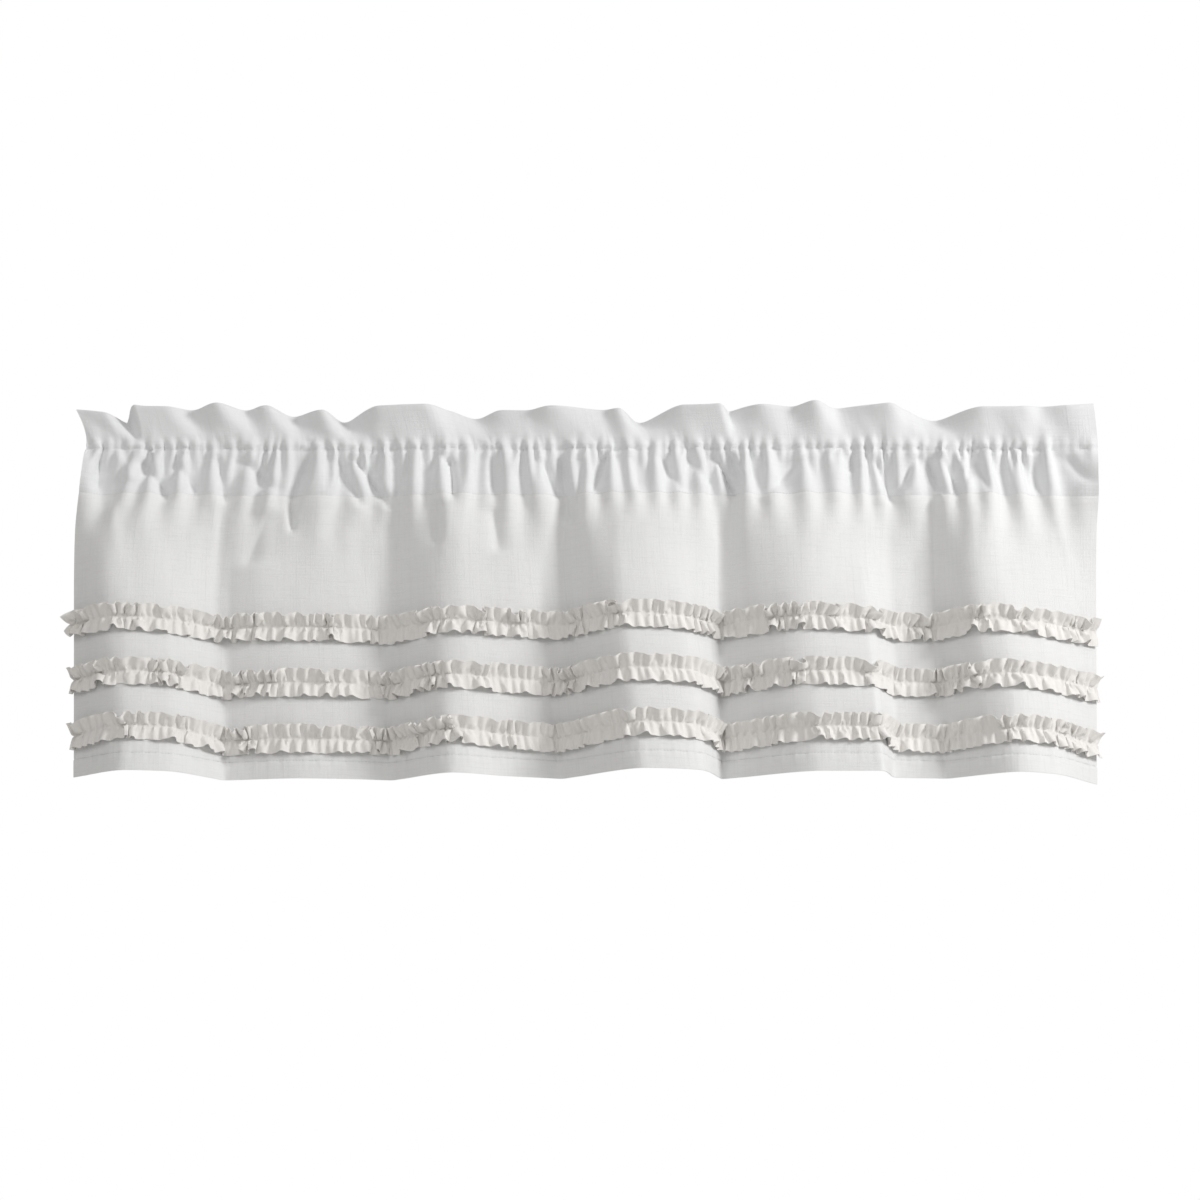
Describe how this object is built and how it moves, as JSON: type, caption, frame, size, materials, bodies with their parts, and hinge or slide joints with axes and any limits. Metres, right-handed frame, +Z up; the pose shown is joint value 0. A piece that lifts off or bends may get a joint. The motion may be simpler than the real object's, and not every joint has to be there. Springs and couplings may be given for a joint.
{
  "type": "window valance",
  "caption": "Gathered white window valance: a standing frill over a rod pocket, a body in soft folds and gathered frill strips sewn across it.",
  "frame": {"origin": "middle of the curtain rod's axis, inside the rod pocket", "axes": "+X across the window to the viewer's right, -Y out of the window into the room, +Z up"},
  "size_m": [0.9888, 0.1077, 0.3597],
  "materials": {
    "cloth": "matt white linen-look plain weave with uneven slubs",
    "frill": "matt soft white plain weave, a little warmer than the body"
  },
  "bodies": {
    "root": {"heading": "cloth", "panel": "cloth", "ruffle_upper": "frill", "ruffle_middle": "frill", "ruffle_lower": "frill"}
  },
  "joints": []
}
